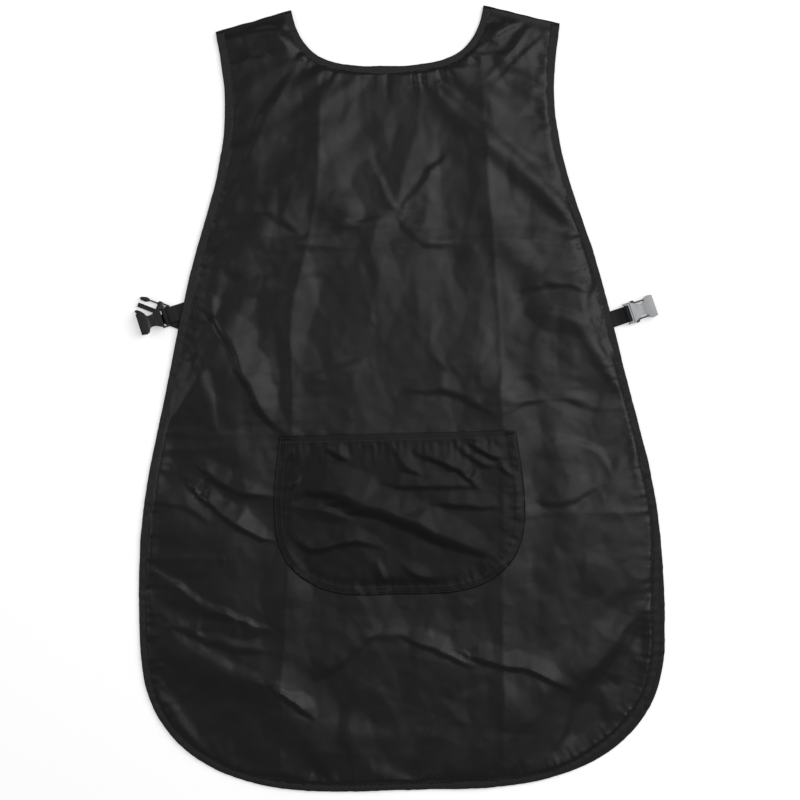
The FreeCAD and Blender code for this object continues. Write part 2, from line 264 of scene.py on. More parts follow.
def pressed(xy, spacing, height, seed, folds=()):
    """Height of cloth crumpled into flat facets with sharp edges, some of them along chosen folds.

    The facets are triangles between scattered places of uneven height.  A fold is a line of high
    places with a line of low ones on each side, nearer on its steep side.  A wide fold has one more
    line on that side, which keeps it full there.
    """
    rng = np.random.default_rng(seed)
    low, high = xy.min(0) - 1.5 * spacing, xy.max(0) + 1.5 * spacing
    columns, rows = ((high - low) / spacing).astype(int) + 1
    scattered = np.array([(i + 0.5 * (j % 2), j) for j in range(rows) for i in range(columns)], float)
    scattered = low + (scattered + rng.uniform(-0.36, 0.36, scattered.shape)) * spacing
    levels = rng.uniform(-1, 1, len(scattered)) * height
    places, values, edges = [], [], []
    keep = np.ones(len(scattered), bool)
    for points, crest, width, lean in folds:
        line = spline(points, max(width, 9.0))
        normals = left_normals(line)
        line = line + normals * rng.uniform(-0.12, 0.12, (len(line), 1)) * width
        share = np.linspace(0, 1, len(line))
        rise = crest * smooth(share / 0.35 + 0.15) * smooth((1 - share) / 0.35 + 0.15)
        rise *= rng.uniform(0.75, 1.1, len(line))
        reach = width * (0.3 + 0.7 * rise / crest)
        near = reach * (1 - 0.75 * abs(lean))
        far = reach * (1 + 0.9 * abs(lean))
        left, right = (far, near) if lean > 0 else (near, far)
        distance = np.min(np.linalg.norm(scattered[:, None] - line[None], axis=2), axis=1)
        keep &= distance > np.max(far) * 0.85
        first = len(places)
        places += list(line)
        values += list(rise)
        edges += [(first + i, first + i + 1) for i in range(len(line) - 1)]
        for offset in (left, -right):
            stray = rng.uniform(0.85, 1.2, len(line))
            places += list(line + normals * (offset * stray)[:, None])
            values += list(rng.uniform(-0.3, 0.2, len(line)) * height)
        if width > 11:
            steep = -near if lean > 0 else near
            places += list(line + normals * (0.45 * steep)[:, None])
            values += list(0.8 * rise)
    places = np.array(places + list(scattered[keep]))
    values = np.array(values + list(levels[keep]))
    found = delaunay_2d_cdt([Vector(p) for p in places], edges, [], 0, 1e-4)
    heights = []
    for vert, origin in zip(found[0], found[3]):
        if origin:
            heights.append(float(np.max(values[list(origin)])))
        else:
            nearest = np.argsort(np.linalg.norm(places - np.array(vert), axis=1))[:2]
            heights.append(float(np.mean(values[nearest])))
    corners = [Vector((v.x, v.y, h)) for v, h in zip(found[0], heights)]
    tree = BVHTree.FromPolygons(corners, [list(f) for f in found[2]])
    out = np.zeros(len(xy))
    for i, (x, y) in enumerate(xy):
        hit = tree.ray_cast(Vector((x, y, 500.0)), Vector((0, 0, -1)))[0]
        out[i] = hit.z if hit is not None else 0.0
    return out


def crease_height(xy):
    """Pressed fold lines: flat flanks of uneven width up to a narrow ridge, stronger in places."""
    z = np.zeros(len(xy))
    for number, (points, slope, widths) in enumerate(CREASES):
        d, share = distance_to(xy, points)
        width = np.interp(share, np.linspace(0, 1, len(widths)), widths)
        width = width * np.clip(1 + 0.8 * noise_at(xy, 40, 70 + number), 0.4, 1.7)
        strength = np.clip(0.85 + 0.5 * noise_at(xy, 60, 90 + number), 0.3, 1.3)
        ends = smooth((1 - share) * 40) * smooth(share * 40)
        flank = np.clip(1 - np.abs(d) / width, 0, 1)
        z += strength * ends * (slope * width * flank + 0.3 * np.exp(-np.abs(d) / 2.0))
    return z


# ---------------------------------------------------------------------------------------------------
# Mesh helpers
# ---------------------------------------------------------------------------------------------------


def new_piece(name, verts_mm, faces, shade_smooth=True):
    """A mesh object from vertices in millimetres."""
    mesh = bpy.data.meshes.new(name)
    mesh.from_pydata((np.asarray(verts_mm, float) * MM).tolist(), [], faces)
    mesh.validate()
    if shade_smooth:
        mesh.polygons.foreach_set("use_smooth", [True] * len(mesh.polygons))
    mesh.update()
    piece = bpy.data.objects.new(name, mesh)
    bpy.context.scene.collection.objects.link(piece)
    return piece


def flat_plate(name, half, level):
    """A square plate at that level, twice half wide."""
    verts = [(-half, -half, level), (half, -half, level), (half, half, level), (-half, half, level)]
    return new_piece(name, verts, [(0, 1, 2, 3)], False)


def corrected(piece):
    """Makes every face of a closed piece look outwards."""
    bm = bmesh.new()
    bm.from_mesh(piece.data)
    bmesh.ops.recalc_face_normals(bm, faces=bm.faces)
    bm.to_mesh(piece.data)
    bm.free()
    return piece


def search_tree(edge):
    """A tree that finds the nearest point of an edge, in the plane."""
    tree = kdtree.KDTree(len(edge))
    for i, p in enumerate(edge):
        tree.insert((p[0], p[1], 0), i)
    tree.balance()
    return tree


def cut_sheet(boundary, step):
    """(places, triangles, border flags) of a sheet filling a closed boundary, in the plane."""
    low, high = boundary.min(0), boundary.max(0)
    rows = np.arange(low[1] + step * 0.5, high[1], step * math.sqrt(3) / 2)
    inner = []
    for i, y in enumerate(rows):
        for x in np.arange(low[0] + step * (0.5 if i % 2 else 1.0), high[0], step):
            inner.append((x, y))
    inner = np.array(inner)
    inner = inner[inside(inner, boundary)]
    tree = search_tree(boundary)
    inner = np.array([p for p in inner if tree.find((p[0], p[1], 0))[2] > step * 0.6])
    places = np.vstack([boundary, inner])
    loop = list(range(len(boundary)))
    result = delaunay_2d_cdt([Vector(p) for p in places], [], [loop], 1, 1e-5)
    flat = np.array([(v.x, v.y) for v in result[0]])
    border = np.array([any(i < len(boundary) for i in origin) for origin in result[3]])
    triangles = [list(f) for f in result[2]]
    return flat, triangles, border


def inside(places, polygon):
    """Which places lie inside a closed polygon."""
    x, y = places[:, 0], places[:, 1]
    hit = np.zeros(len(places), bool)
    for (x0, y0), (x1, y1) in zip(polygon, np.roll(polygon, -1, axis=0)):
        crosses = (y0 > y) != (y1 > y)
        hit ^= crosses & (x < (x1 - x0) * (y - y0) / (y1 - y0 + 1e-12) + x0)
    return hit


def sweep(name, centres, across, up, section):
    """A tube of the given (across, up) section carried along centre points."""
    count = len(section)
    verts = []
    for c, a, u in zip(centres, across, up):
        verts += [c + a * s[0] + u * s[1] for s in section]
    faces = []
    rings = len(centres)
    for i in range(rings - 1):
        for k in range(count):
            m = (k + 1) % count
            faces.append((i * count + k, i * count + m, (i + 1) * count + m, (i + 1) * count + k))
    faces.append(tuple(range(count))[::-1])
    faces.append(tuple((rings - 1) * count + k for k in range(count)))
    return corrected(new_piece(name, verts, faces))


def settle(piece, pinned, ground):
    """Lets a cloth piece with a little spare width find its waves, with its sewn points held."""
    group = piece.vertex_groups.new(name="sewn")
    group.add([int(i) for i in np.nonzero(pinned)[0]], 1.0, "REPLACE")
    cloth = piece.modifiers.new("Cloth", "CLOTH")
    settings = cloth.settings
    settings.quality = 6
    settings.mass = 0.12
    settings.tension_stiffness = SETTLE_STIFFNESS
    settings.compression_stiffness = SETTLE_STIFFNESS
    settings.shear_stiffness = SETTLE_STIFFNESS * 0.5
    settings.bending_stiffness = 0.05
    settings.air_damping = 2.0
    settings.effector_weights.gravity = 0.0
    settings.shrink_min = -SETTLE_SPARE
    settings.vertex_group_mass = "sewn"
    settings.pin_stiffness = 1.0
    cloth.collision_settings.use_self_collision = False
    cloth.collision_settings.distance_min = 0.0006
    cloth.point_cache.frame_start = 1
    cloth.point_cache.frame_end = SETTLE_FRAMES
    collider = ground.modifiers.new("Collision", "COLLISION")
    ground.collision.thickness_outer = 0.0005
    ground.collision.damping = 0.5
    ground.collision.cloth_friction = 20
    scene = bpy.context.scene
    for number in range(1, SETTLE_FRAMES + 1):
        scene.frame_set(number)
    evaluated = piece.evaluated_get(bpy.context.evaluated_depsgraph_get())
    shape = evaluated.to_mesh()
    settled = np.empty(len(shape.vertices) * 3)
    shape.vertices.foreach_get("co", settled)
    evaluated.to_mesh_clear()
    piece.modifiers.remove(cloth)
    ground.modifiers.remove(collider)
    piece.vertex_groups.remove(group)
    piece.data.vertices.foreach_set("co", settled)
    piece.data.update()
    scene.frame_set(1)


def places_mm(piece):
    """A piece's vertices in millimetres."""
    co = np.empty(len(piece.data.vertices) * 3)
    piece.data.vertices.foreach_get("co", co)
    return co.reshape(-1, 3) / MM


def set_places(piece, places):
    """Moves a piece's vertices to places in millimetres."""
    piece.data.vertices.foreach_set("co", (places * MM).ravel())
    piece.data.update()


def subdivide(piece):
    """One level of smooth subdivision, made part of the mesh."""
    modifier = piece.modifiers.new("Subdivision", "SUBSURF")
    modifier.levels = modifier.render_levels = 1
    apply_modifiers(piece)


def apply_modifiers(piece):
    """Makes all of a piece's modifiers part of its mesh, smoothly shaded."""
    depsgraph = bpy.context.evaluated_depsgraph_get()
    mesh = bpy.data.meshes.new_from_object(piece.evaluated_get(depsgraph))
    piece.modifiers.clear()
    old = piece.data
    piece.data = mesh
    mesh.name = piece.name
    bpy.data.meshes.remove(old)
    mesh.polygons.foreach_set("use_smooth", [True] * len(mesh.polygons))


# ---------------------------------------------------------------------------------------------------
# Materials
# ---------------------------------------------------------------------------------------------------


class Nodes:
    """A material's node tree with a short way to add and link nodes."""

    def __init__(self, name):
        self.material = bpy.data.materials.new(name)
        self.material.use_nodes = True
        self.tree = self.material.node_tree
        self.shader = self.tree.nodes["Principled BSDF"]
        coordinates = self.tree.nodes.new("ShaderNodeTexCoord")
        self.place = coordinates.outputs["Object"]

    def add(self, kind, inputs=(), **settings):
        node = self.tree.nodes.new("ShaderNode" + kind)
        for key, value in settings.items():
            setattr(node, key, value)
        for key, value in dict(inputs).items():
            if isinstance(value, bpy.types.NodeSocket):
                self.tree.links.new(value, node.inputs[key])
            else:
                node.inputs[key].default_value = value
        return node

    def noise(self, scale, detail=2.0, roughness=0.5):
        return self.add("TexNoise", {"Vector": self.place, "Scale": scale, "Detail": detail,
                                     "Roughness": roughness}).outputs["Fac"]

    def waves(self, scale, direction):
        inputs = {"Vector": self.place, "Scale": scale}
        return self.add("TexWave", inputs, bands_direction=direction).outputs["Fac"]

    def spread(self, value, low, high):
        """The value from 0 to 1 spread between low and high."""
        return self.add("MapRange", {"Value": value, "To Min": low, "To Max": high}).outputs["Result"]

    def mixed(self, factor, first, second):
        node = self.add("Mix", {"Factor": factor}, data_type="RGBA")
        node.inputs["A"].default_value = (*first, 1)
        node.inputs["B"].default_value = (*second, 1)
        return node.outputs["Result"]

    def math(self, operation, first, second):
        return self.add("Math", {0: first, 1: second}, operation=operation).outputs[0]

    def bump(self, height, distance, strength, normal=None):
        inputs = {"Height": height, "Distance": distance, "Strength": strength}
        if normal is not None:
            inputs["Normal"] = normal
        return self.add("Bump", inputs).outputs["Normal"]

    def shade(self, **inputs):
        for key, value in inputs.items():
            socket = self.shader.inputs[key.replace("_", " ")]
            if isinstance(value, bpy.types.NodeSocket):
                self.tree.links.new(value, socket)
            else:
                socket.default_value = value
        return self.material


def woven(name, dark, light, roughness, gloss):
    """Plain-woven coated nylon: fine warp and weft, faint crinkles and uneven gloss."""
    n = Nodes(name)
    weave = n.math("MULTIPLY", n.waves(900, "X"), n.waves(900, "Y"))
    cloud = n.noise(28, 3)
    fine = n.bump(weave, 0.00005, 0.25)
    crinkled = n.bump(n.noise(190, 3, 0.6), 0.0005, 0.10, fine)
    return n.shade(
        Base_Color=n.mixed(cloud, dark, light),
        Roughness=n.spread(n.noise(60, 4), roughness - 0.05, roughness + 0.06),
        Normal=crinkled, Specular_IOR_Level=gloss,
    )


def ribbed(name, colour, roughness, scale, direction):
    """Tape or webbing with ribs across it and a faint weave along it."""
    n = Nodes(name)
    ribs = n.waves(scale, direction)
    other = n.waves(scale * 0.8, "Y" if direction == "X" else "X")
    height = n.math("ADD", n.math("MULTIPLY", other, 0.4), ribs)
    tone = tuple(c * 1.7 for c in colour)
    return n.shade(
        Base_Color=n.mixed(n.noise(90, 3), colour, tone),
        Roughness=n.spread(n.noise(140, 3), roughness - 0.06, roughness + 0.08),
        Normal=n.bump(height, 0.00012, 0.5), Specular_IOR_Level=0.25,
    )


def moulded(name, colour, roughness):
    """Injection-moulded plastic with a faint texture and scuffs."""
    n = Nodes(name)
    tone = tuple(min(1.0, c * 1.25) for c in colour)
    return n.shade(
        Base_Color=n.mixed(n.noise(120, 4), colour, tone),
        Roughness=n.spread(n.noise(420, 3), roughness - 0.05, roughness + 0.12),
        Normal=n.bump(n.noise(1400, 2), 0.00004, 0.3),
    )


CLOTH = woven("Black coated nylon", (0.0055, 0.0055, 0.006), (0.008, 0.008, 0.0085), 0.38, 0.3)
POCKET_CLOTH = woven(
    "Black pocket nylon", (0.0034, 0.0034, 0.0042), (0.0046, 0.0046, 0.0057), 0.45, 0.22
)
TAPE = ribbed("Black binding tape", (0.0085, 0.0085, 0.0092), 0.5, 700, "X")
WEBBING = ribbed("Black webbing", (0.008, 0.008, 0.009), 0.6, 330, "Y")
THREAD = ribbed("Black thread", (0.035, 0.035, 0.037), 0.45, 1200, "X")
BLACK_PLASTIC = moulded("Black moulded plastic", (0.010, 0.010, 0.011), 0.3)
# painted reflection: this grey colour stands in for a softbox mirrored in the right socket's glossy
# black plastic
PAINTED_REFLECTION_PLASTIC = moulded("Moulded plastic with painted reflection", (0.35, 0.36, 0.375), 0.28)


def dress(piece, material, body=None, replaces=()):
    """Gives a finished piece its material, its body and the nodes it stands for."""
    piece.data.materials.clear()
    piece.data.materials.append(material)
    if replaces:
        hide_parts(*replaces)
    if body:
        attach(piece, body)
    return piece


# ---------------------------------------------------------------------------------------------------
# The two panels
# ---------------------------------------------------------------------------------------------------
EDGE_STEP = 4.0
SIDE_EDGE = spline(mirrored(SIDE, HEM), EDGE_STEP)
NECK_EDGE = spline(mirrored(NECK, NECK_LOW), EDGE_STEP)


def border_wave(xy):
    """Height of the front's bound edges: close puckers on slow waves, higher over the straps."""
    slow = np.clip(noise_at(xy, 70, 3) * 1.6, -0.4, 2.2)
    puckers = noise_at(xy, 9, 8) * 0.45
    over_straps = 1.8 * np.exp(-((xy[:, 1] - STRAP_Y) / 26) ** 2) * (np.abs(xy[:, 0]) > 150)
    return FRONT_LEVEL + slow + puckers + over_straps


def fallen_short(edge, amount):
    """The edge drawn in where the front panel falls short of the back one, low on the right."""
    x, y = edge[:, 0], edge[:, 1]
    near = smooth((x - 120) / 90) * smooth((-y - 110) / 90) * smooth((y + 372) / 25)
    return edge + into_cloth(edge) * (amount * near)[:, None]


def outline(side_edge):
    """Closed boundary of a panel's cloth, drawn in under its bindings but whole at its shoulders."""
    side = side_edge + into_cloth(side_edge) * SEWN_IN
    neck = NECK_EDGE + into_cloth(NECK_EDGE) * SEWN_IN
    along = np.array(NECK[0], float) - np.array(SIDE[0], float)
    along /= np.linalg.norm(along)
    for curve, sign in ((side, 1), (neck, -1)):
        start = np.array(SIDE[0] if sign > 0 else NECK[0], float) + sign * along * SEWN_IN
        curve[0] = start
        curve[-1] = start * (-1, 1)
    left = evenly(np.array([side[-1], neck[-1]]), EDGE_STEP)
    right = evenly(np.array([neck[0], side[0]]), EDGE_STEP)
    return np.vstack([side, left[1:-1], neck[::-1], right[1:-1]])


FRONT_SIDE_EDGE = fallen_short(SIDE_EDGE, 5.0)


def ripples(xy, edge, reach, height, size, seed):
    """Short gathers that run in from a sewn edge and die within their reach."""
    tree = search_tree(edge)
    s = arc_length(edge)
    out = np.zeros(len(xy))
    for i, p in enumerate(xy):
        _, k, d = tree.find((p[0], p[1], 0))
        if d < reach * 2.5:
            along = noise.noise(Vector((s[k] / size, seed, d / (reach * 3))))
            where = 0.5 + 0.9 * noise.noise(Vector((s[k] / 60, seed + 9.0, 0)))
            out[i] = height * along * max(0.15, where) * math.exp(-d / reach)
    return out


def clearance(xy):
    """Distance from each place to the front panel's bound edges."""
    tree = search_tree(np.vstack([FRONT_SIDE_EDGE, NECK_EDGE]))
    return np.array([tree.find((x, y, 0))[2] for x, y in xy])


def shoulder_gap(xy):
    """How far each place lies below the line of the shoulders."""
    return SHOULDER_TOP - np.abs(xy[:, 0]) * SHOULDER_FALL - xy[:, 1]


def front_height(xy):
    """Laid height of the front cloth before it settles."""
    wave = border_wave(xy)
    free = smooth((clearance(xy) - 4) / 26) * smooth(shoulder_gap(xy) / 50)
    return wave * (1 - free) + free * (FRONT_LEVEL + 2.0)


def facets(xy):
    """Crumple of thin coated cloth: long flat facets, upright at the chest and slanting below it."""
    chest = smooth((xy[:, 1] + 40) / 120)
    turn = math.radians(-22)
    across = np.column_stack([
        xy[:, 0] * math.cos(turn) + xy[:, 1] * math.sin(turn),
        xy[:, 1] * math.cos(turn) - xy[:, 0] * math.sin(turn),
    ])
    z = pressed(xy * (1, 0.55), 40, 1.5, 4) * chest
    z = z + pressed(across * (0.5, 1), 36, 1.3, 6) * (1 - chest)
    return z + pressed(xy * (1, 0.8), 19, 0.65, 5) + pressed(xy, 9, 0.22, 7)


def crumpled(xy, z):
    """The settled height with its facets, folds, creases and gathers.

    The cloth is calmer below the left shoulder, and it meets its tapes and shoulder lines.
    """
    d = clearance(xy)
    x, y = ((xy - CALM_PLACE) / CALM_REACH).T
    calm = 0.85 * np.exp(-x ** 2 - y ** 2)
    z = z * (1 - calm) + front_height(xy) * calm
    z += (facets(xy) * (1 - 0.7 * calm) + pressed(xy, 58, 0, 4, FOLDS)) * smooth((d - 5) / 14)
    z += crease_height(xy) * smooth((d - 3) / 8)
    inside_tape = smooth((d - 6) / 4)
    z += ripples(xy, FRONT_SIDE_EDGE, 9, 4.5, 4.5, 2.0) * inside_tape
    z += ripples(xy, NECK_EDGE, 13, 6.5, 5, 5.0) * inside_tape
    held = 1 - smooth((d - 5.5) / 3)
    z = z * (1 - held) + border_wave(xy) * held
    z = np.minimum(z, OPEN_HEIGHT + OPEN_RISE * (HINGE_Y - xy[:, 1]))
    under = smooth(shoulder_gap(xy) / 10)
    return np.maximum(z, FRONT_LEVEL - 0.6) * under + (1 - under) * FRONT_LEVEL


def front_panel():
    """The front cloth: cut flat, settled with spare width, then creased and folded."""
    flat, triangles, border = cut_sheet(outline(FRONT_SIDE_EDGE), CLOTH_STEP)
    piece = new_piece("front_cloth", np.column_stack([flat, front_height(flat)]), triangles)
    ground = flat_plate("settling_plate", 600, FRONT_LEVEL - 1.2)
    settle(piece, border, ground)
    bpy.data.objects.remove(ground)
    subdivide(piece)
    places = places_mm(piece)
    places[:, 2] = crumpled(places[:, :2], places[:, 2])
    set_places(piece, places)
    return dress(piece, CLOTH, "front", ["front_panel"])


def back_panel():
    """The back cloth, smooth and nearly flat under the front one."""
    flat, triangles, border = cut_sheet(outline(SIDE_EDGE), BACK_STEP)
    z = BACK_LEVEL + (0.3 * noise_at(flat, 60, 8) + pressed(flat, 34, 0.4, 21)) * ~border
    piece = new_piece("back_cloth", np.column_stack([flat, z]), triangles)
    subdivide(piece)
    return dress(piece, CLOTH, "back", ["back_panel"])


# ---------------------------------------------------------------------------------------------------
# Bindings and stitches
# ---------------------------------------------------------------------------------------------------


def tape_section(width, thick):
    """A flattened tape folded round an edge, thicker at its outer fold: (across, up) in order."""
    top = [(0.0, 0.0), (0.12, 0.62), (0.45, 0.98), (1.3, 1.06), (3.2, 0.94), (width - 2.6, 0.86),
           (width - 1.6, 0.60), (width - 0.6, 0.72), (width, 0.3)]
    half = thick / 2
    upper = [(a, h * half) for a, h in top]
    lower = [(a, -h * half) for a, h in reversed(top[1:])]
    return upper + lower


def binding(name, edge, heights, body, node, seed):
    """Folded tape along an edge, puckered by its stitching, and its row of stitches."""
    fine = evenly(np.column_stack([edge, heights]), 2.0)
    inward = into_cloth(fine)
    s = arc_length(fine)
    pucker = np.array([noise.noise(Vector((v / 5.0, seed, 0))) for v in s])
    slack = np.array([noise.noise(Vector((v / 23.0, seed + 4, 0))) for v in s])
    fine[:, 2] += 0.25 * pucker
    base = fine[:, :2] - inward * (0.5 * slack + 0.25 * pucker)[:, None]
    centres = np.column_stack([base, fine[:, 2]])
    across = np.column_stack([inward, 0.05 * pucker])
    up = np.tile((0.0, 0.0, 1.0), (len(fine), 1)) * (1 + 0.25 * pucker)[:, None]
    piece = sweep(name, centres, across, up, tape_section(TAPE_WIDTH, TAPE_THICK))
    dress(piece, TAPE, body, [node])
    for face, side in (("top", 1), ("under", -1)):
        if body == "back" and side < 0:
            continue
        seam = centres + across * (TAPE_WIDTH - 1.6)
        seam[:, 2] += side * (0.36 * TAPE_THICK)
        rows = stitches("{}_stitches_{}".format(name, face), seam)
        dress(rows, THREAD, body)


def stitches(name, path, pitch=STITCH_PITCH, length=STITCH_LENGTH):
    """A row of separate thread stitches that dip into the cloth at both ends."""
    s = arc_length(path)
    verts, faces = [], []
    ring = 5
    shape = [(-0.5, -0.9, 0.35), (-0.28, 0.25, 0.9), (0.0, 0.45, 1.0),
             (0.28, 0.25, 0.9), (0.5, -0.9, 0.35)]
    for middle in np.arange(pitch / 2, s[-1], pitch):
        ahead = np.array([np.interp(middle + length * 0.5, s, path[:, i]) for i in range(3)])
        behind = np.array([np.interp(middle - length * 0.5, s, path[:, i]) for i in range(3)])
        along = ahead - behind
        size = np.linalg.norm(along)
        if size < 1e-6:
            continue
        along /= size
        side = np.cross((0, 0, 1), along)
        side /= np.linalg.norm(side)
        above = np.cross(along, side)
        centre = (ahead + behind) / 2
        first = len(verts)
        for t, rise, girth in shape:
            for k in range(ring):
                a = 2 * math.pi * k / ring
                verts.append(
                    centre + along * t * length + above * rise * STITCH_RADIUS
                    + (side * math.cos(a) + above * math.sin(a)) * STITCH_RADIUS * girth
                )
        for i in range(len(shape) - 1):
            for k in range(ring):
                m = (k + 1) % ring
                low, high = first + i * ring, first + (i + 1) * ring
                faces.append((low + k, low + m, high + m, high + k))
        faces.append(tuple(first + k for k in range(ring))[::-1])
        faces.append(tuple(first + (len(shape) - 1) * ring + k for k in range(ring)))
    return new_piece(name, verts, faces)


def make_bindings():
    """The four tapes; each stands for the binding of the same name."""
    tapes = [
        ("front_edge", FRONT_SIDE_EDGE, "front", 1.0), ("front_neck", NECK_EDGE, "front", 2.0),
        ("back_edge", SIDE_EDGE, "back", 6.0), ("back_neck", NECK_EDGE, "back", 7.0),
    ]
    for name, edge, body, seed in tapes:
        heights = border_wave(edge) if body == "front" else np.full(len(edge), BACK_LEVEL)
        binding(name + "_tape", edge, heights, body, name + "_binding", seed)


# ---------------------------------------------------------------------------------------------------
# Shoulders
# ---------------------------------------------------------------------------------------------------


def shoulder(side):
    """The cloth that turns over along one shoulder, from the front panel down to the back one."""
    outer = np.array([side * SIDE[0][0], SIDE[0][1]], float)
    inner = np.array([side * NECK[0][0], NECK[0][1]], float)
    line = evenly(np.array([outer, inner]), 2.5)
    along = (inner - outer) / np.linalg.norm(inner - outer)
    out = np.array([-along[1], along[0]])
    out *= np.sign(out[1])
    turns = 12
    verts, faces = [], []
    for i, p in enumerate(line):
        share = i / (len(line) - 1)
        puff = 1.0 + 0.5 * noise.noise(Vector((share * 5, side * 3.0, 0)))
        for k in range(turns + 1):
            a = math.pi * k / turns
            z = (FRONT_LEVEL + BACK_LEVEL) / 2 + (FRONT_LEVEL - BACK_LEVEL) / 2 * math.cos(a)
            xy = p + out * (math.sin(a) * 1.6 * puff - 1.5 * abs(math.cos(a)))
            verts.append((xy[0], xy[1], z))
    for i in range(len(line) - 1):
        for k in range(turns):
            a, b = i * (turns + 1) + k, (i + 1) * (turns + 1) + k
            faces.append((a, a + 1, b + 1, b))
    piece = new_piece("shoulder_fold_" + ("right" if side > 0 else "left"), verts, faces)
    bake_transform(piece)
    dress(piece, CLOTH)


# ---------------------------------------------------------------------------------------------------
# Pocket
# ---------------------------------------------------------------------------------------------------


def heights_below(piece, xy):
    """Height of a piece's surface under each place, in millimetres."""
    tree = BVHTree.FromPolygons(
        [v.co for v in piece.data.vertices], [p.vertices[:] for p in piece.data.polygons]
    )
    out = np.full(len(xy), FRONT_LEVEL)
    for i, (x, y) in enumerate(xy):
        hit = tree.ray_cast(Vector((x * MM, y * MM, 0.1)), Vector((0, 0, -1)))[0]
        if hit is not None:
            out[i] = hit.z / MM
    return out


def pocket(front):
    """The patch, sewn down along its curved side and open at its hemmed mouth."""
    rim = spline(mirrored(POCKET, POCKET_BASE), 3.0)
    mouth = evenly(np.array([rim[-1], rim[0]]), 3.0)
    flat, triangles, _ = cut_sheet(np.vstack([rim, mouth[1:-1]]), POCKET_STEP)
    tree = search_tree(rim)
    d = np.array([tree.find((x, y, 0))[2] for x, y in flat])
    below = heights_below(front, flat)
    level = np.full(len(flat), np.mean(below))
    free = smooth((d - 6) / 12)
    row = mouth - (0, HEM_WIDTH)
    beneath = smooth((row[0][1] - flat[:, 1]) / 3)
    z = below * (1 - 0.7 * free) + level * 0.7 * free + 0.7 + 0.9 * free
    folds = pressed(flat, 36, 0, 14, POCKET_FOLDS)
    crumple = folds + pressed(flat * (0.6, 1), 20, 0.7, 15) + pressed(flat, 9, 0.2, 16)
    z += free * crumple * (0.4 + 0.6 * beneath)
    z += ripples(flat, rim, 9, 4.5, 4.5, 12.0) * smooth((d - 4) / 3)
    z += ripples(flat, row, 9, 3.6, 3.6, 13.0) * beneath * free
    z += 0.35 * smooth((9.5 - d) / 1.5)
    z = np.maximum(z, below + 0.45 + 0.35 * (1 - beneath))
    piece = new_piece("pocket_cloth", np.column_stack([flat, z]), triangles)
    solid = piece.modifiers.new("Thickness", "SOLIDIFY")
    solid.thickness = 0.3 * MM
    solid.offset = 0
    apply_modifiers(piece)
    sharpen_mouth(piece)
    dress(piece, POCKET_CLOTH, "front", ["pocket_panel"])
    for number, inset in enumerate((1.6, 7.4)):
        row = offset_row(rim, inset)
        path = np.column_stack([row, heights_below(piece, row) + STITCH_LIFT])
        rows = stitches("pocket_stitches_{}".format(number + 1), path)
        dress(rows, THREAD, "front")
    mouth_hem(piece)
    bartacks(piece)


def sharpen_mouth(piece):
    """Keeps the pocket's top edge crisp, so its hem lies flat in the light."""
    mesh = piece.data
    limit = (POCKET_TOP - 0.4) * MM
    for edge in mesh.edges:
        edge.use_edge_sharp = all(mesh.vertices[v].co.y > limit for v in edge.vertices)


def offset_row(rim, inset):
    """A curve inside the pocket's rim at that distance."""
    row = rim + into_cloth(rim) * inset
    return row[row[:, 1] < POCKET_TOP - 0.5]


def mouth_hem(surface):
    """The mouth's hem turned in under the cloth, and its stitch row."""
    half = POCKET[0][0] - 1.5
    xs = np.arange(-half, half + 0.1, 2.5)
    edge = np.column_stack([xs, np.full(len(xs), POCKET_TOP + 0.3)])
    z = heights_below(surface, edge - (0, 1.3))
    centres = np.column_stack([edge, z - 0.35])
    across = np.tile((0.0, -1.0, 0.0), (len(xs), 1))
    low = heights_below(surface, edge - (0, HEM_WIDTH))
    across[:, 2] = (low - z) / HEM_WIDTH
    up = np.tile((0.0, 0.0, 1.0), (len(xs), 1))
    hem = sweep("pocket_hem", centres, across, up, tape_section(HEM_WIDTH, 0.55))
    dress(hem, POCKET_CLOTH, "front", ["pocket_mouth_hem"])
    row = edge - (0, HEM_WIDTH - 0.8)
    path = np.column_stack([row, heights_below(surface, row) + STITCH_LIFT])
    dress(stitches("pocket_hem_stitches", path), THREAD, "front")


def bartacks(surface):
    """Dense stitches across both ends of the pocket's mouth."""
    verts, faces = [], []
    for side in (-1, 1):
        tack = np.array([
            (side * (POCKET[0][0] - 2 - t * 8.0), POCKET_TOP - 2.2) for t in np.linspace(0, 1, 9)
        ])
        heights = heights_below(surface, tack)
        for (x, y), h in zip(tack, heights):
            first = len(verts)
            for k in range(6):
                a = 2 * math.pi * k / 6
                for end in (-1.2, 1.2):
                    verts.append((x + 0.4 * math.cos(a), y + end, h + 0.4 + 0.3 * math.sin(a)))
            for k in range(6):
                m = (k + 1) % 6
                faces.append((first + 2 * k, first + 2 * m, first + 2 * m + 1, first + 2 * k + 1))
            faces.append(tuple(first + 2 * k for k in range(6)))
            faces.append(tuple(first + 2 * k + 1 for k in range(6))[::-1])
    tacks = corrected(new_piece("pocket_bartack_threads", verts, faces))
    dress(tacks, TAPE, "front", ["pocket_bartacks"])


# ---------------------------------------------------------------------------------------------------
# Straps and buckles
# ---------------------------------------------------------------------------------------------------
WEBBING_WIDTH = 15.6
WEBBING_THICK = 0.8
PLY_GAP = 0.42
BAR_RADIUS = 1.2
BAR_SLACK = 0.25
SEWN_LEVELS = {"front": 3.0, "back": 1.75}
JOINTS = {joint["name"]: joint for joint in frame["joints"]}


def strap_frame(layer, side):
    """(bend point, bar point, outward, across) of a strap, from the frame's own joints."""
    bend = JOINTS["{}_strap_bend_{}".format(layer, side)]
    swivel = JOINTS["{}_buckle_swivel_{}".format("female" if layer == "front" else "male", side)]
    start, bar = Vector(bend["pos_m"]), Vector(swivel["pos_m"])
    across = Vector(bend["axis"]).normalized()
    outward = Vector((bar.x - start.x, bar.y - start.y, 0)).normalized()
    return start, bar, outward, across


